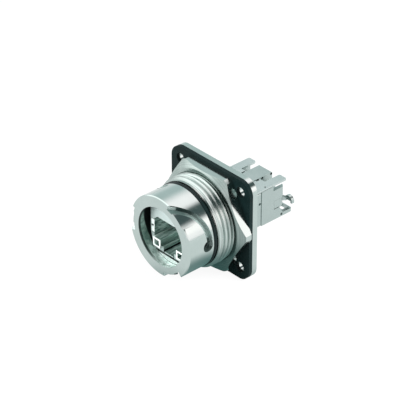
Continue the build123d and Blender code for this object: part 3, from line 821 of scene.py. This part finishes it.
middle, normal = face_table(housing.data)
radius, depth = from_axis(middle), middle[:, Y]
half = THIRD_TURN / 2
from_lock = (around_axis(middle) + half) % THIRD_TURN - half
outwards = (middle * normal)[:, [X, Z]].sum(1) / np.maximum(radius, 1e-6)
in_groove = between(depth, *GROOVE_DEPTHS) & between(radius, BORE_R, GROOVE_R)
wall = np.abs(outwards) < WALL_LIKE
from_pocket = np.hypot(np.radians(from_lock) * POCKET_PATH_R, depth - POCKET_Y)
in_pocket = in_groove & (from_pocket < POCKET_R)
line_faces(housing, [
    (bore_nickel, (radius < BORE_R) & along_barrel(normal)),
    (groove_floor, in_groove & (outwards > FLOOR_LIKE) & (radius < FLOOR_R)),
    (groove_wall, in_groove & wall),
    (pocket_dark, in_pocket & np.where(wall, from_lock < FAR_WALL, radius < FLOOR_R)),
    (crevice, in_groove & wall & (radius < FOOT_OF_WALL))])

# %% [markdown]
# ## The nut's own thread
# A nut's thread reaches between the ridges of the barrel's thread, so no dark ring shows between
# them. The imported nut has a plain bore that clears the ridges. Its copy is closed in to the width
# that a real nut has there, and its mouth opens as a cone, as the tap's chamfer leaves it. The
# six flats are milled, so they are smoother than the turned faces and get the housing's finish.

# %% Close the nut in
NUT_R, MOUTH_R, NUT_FRONT, MOUTH_DEPTH, NUT_MIDDLE = 12.85, 13.52, -3.4, 0.5, -2
BORE_WITHIN, AT_FRONT, FLATS_FROM = 13.9, 0.1, 14.4

nut = stand_in("panel_nut", "_tapped")
points = mesh_points(nut.data)
inside = from_axis(points) < BORE_WITHIN
mouth = inside & (points[:, Y] < NUT_FRONT + AT_FRONT)
bore = inside & ~mouth
to_radius(points, bore, NUT_R)
to_radius(points, mouth, MOUTH_R)
points[bore & (points[:, Y] < NUT_MIDDLE), Y] = NUT_FRONT + MOUTH_DEPTH
put_points(nut.data, points)
middle, normal = face_table(nut.data)
flats = (from_axis(middle) > FLATS_FROM) & along_barrel(normal, 0.3)
line_faces(nut, [(finishes["turned_nickel"], flats)])

# %% [markdown]
# ## The panel thread
# The housing's thread is a ridge that climbs 1.5 mm each turn. A spiral sweep would leave raw
# ends, so the thread is a sleeve instead: a closed ring whose outer line is the thread's profile,
# pushed along the axis by one pitch as it goes once round. Cones at both ends cut the ridge down
# to its root, which is what the lathe's lead-in chamfer does.

# %% Make the thread
PITCH, INNER_R, CONE = 1.5, 12.3, math.radians(50)
THREAD_FRONT, THREAD_BACK = -8.3, -1.6
PROFILE_Y = np.array([0.0, 0.36, 0.80, 0.86, 1.00, 1.06])
PROFILE_R = np.array([0.0, 0.0, 0.93, 1.0, 1.0, 0.93])


def thread_points(columns=241):
    """Rows follow the profile, columns go round.
    y = front + pitch * (row's turn + column's angle / full turn) + place in the profile,
    r = the profile's radius, but under two cones that rise from the ends."""
    turns = math.ceil((THREAD_BACK - THREAD_FRONT) / PITCH) + 1
    start = THREAD_FRONT + PITCH * (np.arange(turns) - 1)
    row_y = (start[:, None] + PROFILE_Y).ravel()[:, None]
    row_r = (ROOT_R + np.tile(PROFILE_R, turns) * (CREST_R - ROOT_R))[:, None]
    angle = np.linspace(0, 2 * math.pi, columns)[None, :]
    y = row_y + PITCH * angle / (2 * math.pi)
    ramp = np.minimum(y - THREAD_FRONT, THREAD_BACK - y) * math.tan(CONE)
    r = np.minimum(row_r + 0 * angle, ROOT_R + np.maximum(ramp, 0))
    y = np.clip(y, THREAD_FRONT, THREAD_BACK)
    ends = np.array([THREAD_BACK, THREAD_FRONT])[:, None] + 0 * angle
    y, r = np.vstack([y, ends]), np.vstack([r, 0 * ends + INNER_R])
    return np.stack([r * np.cos(angle), y, r * np.sin(angle)], -1)


def tidy_mesh(thing, sharp_angle):
    """Merge points that meet, turn all faces outwards and shade smooth up to an angle."""
    shell = bmesh.new()
    shell.from_mesh(thing.data)
    bmesh.ops.remove_doubles(shell, verts=shell.verts, dist=1e-6)
    bmesh.ops.dissolve_degenerate(shell, edges=shell.edges, dist=1e-7)
    bmesh.ops.recalc_face_normals(shell, faces=shell.faces)
    shell.to_mesh(thing.data)
    shell.free()
    thing.data.shade_smooth()
    thing.data.set_sharp_from_angle(angle=math.radians(sharp_angle))
    print(thing.name, len(thing.data.polygons), "faces")


points = thread_points()
rows, columns = points.shape[:2]
# The last column lies on the first one, a pitch further on, so merging closes the seam.
thread = mesh_object("panel_thread", points.reshape(-1, 3), grid_faces(rows, columns, True))
tidy_mesh(thread, 25)
thread.data.materials.append(finishes["thread_nickel"])
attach(thread, "root")

# %% [markdown]
# ## The sealing ring
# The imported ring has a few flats, so a smooth one takes its place: a grid that closes both ways.

# %% Make the sealing ring
RING_R, RING_Y, RING_TUBE, RING_STEPS, TUBE_STEPS = 11.95, -9.15, 0.65, 160, 24
turn = np.linspace(0, 2 * math.pi, RING_STEPS, endpoint=False)[:, None]
tube = np.linspace(0, 2 * math.pi, TUBE_STEPS, endpoint=False)[None, :]
r = RING_R + RING_TUBE * np.cos(tube)
points = np.stack([r * np.cos(turn), RING_Y + RING_TUBE * np.sin(tube) + 0 * turn,
                   r * np.sin(turn)], -1)
ring = mesh_object("sealing_ring", points.reshape(-1, 3),
                   grid_faces(RING_STEPS, TUBE_STEPS, True, True))
tidy_mesh(ring, 60)
ring.data.materials.append(finishes["ring_rubber"])
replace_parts(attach(ring, "root"), "coupling_ring")
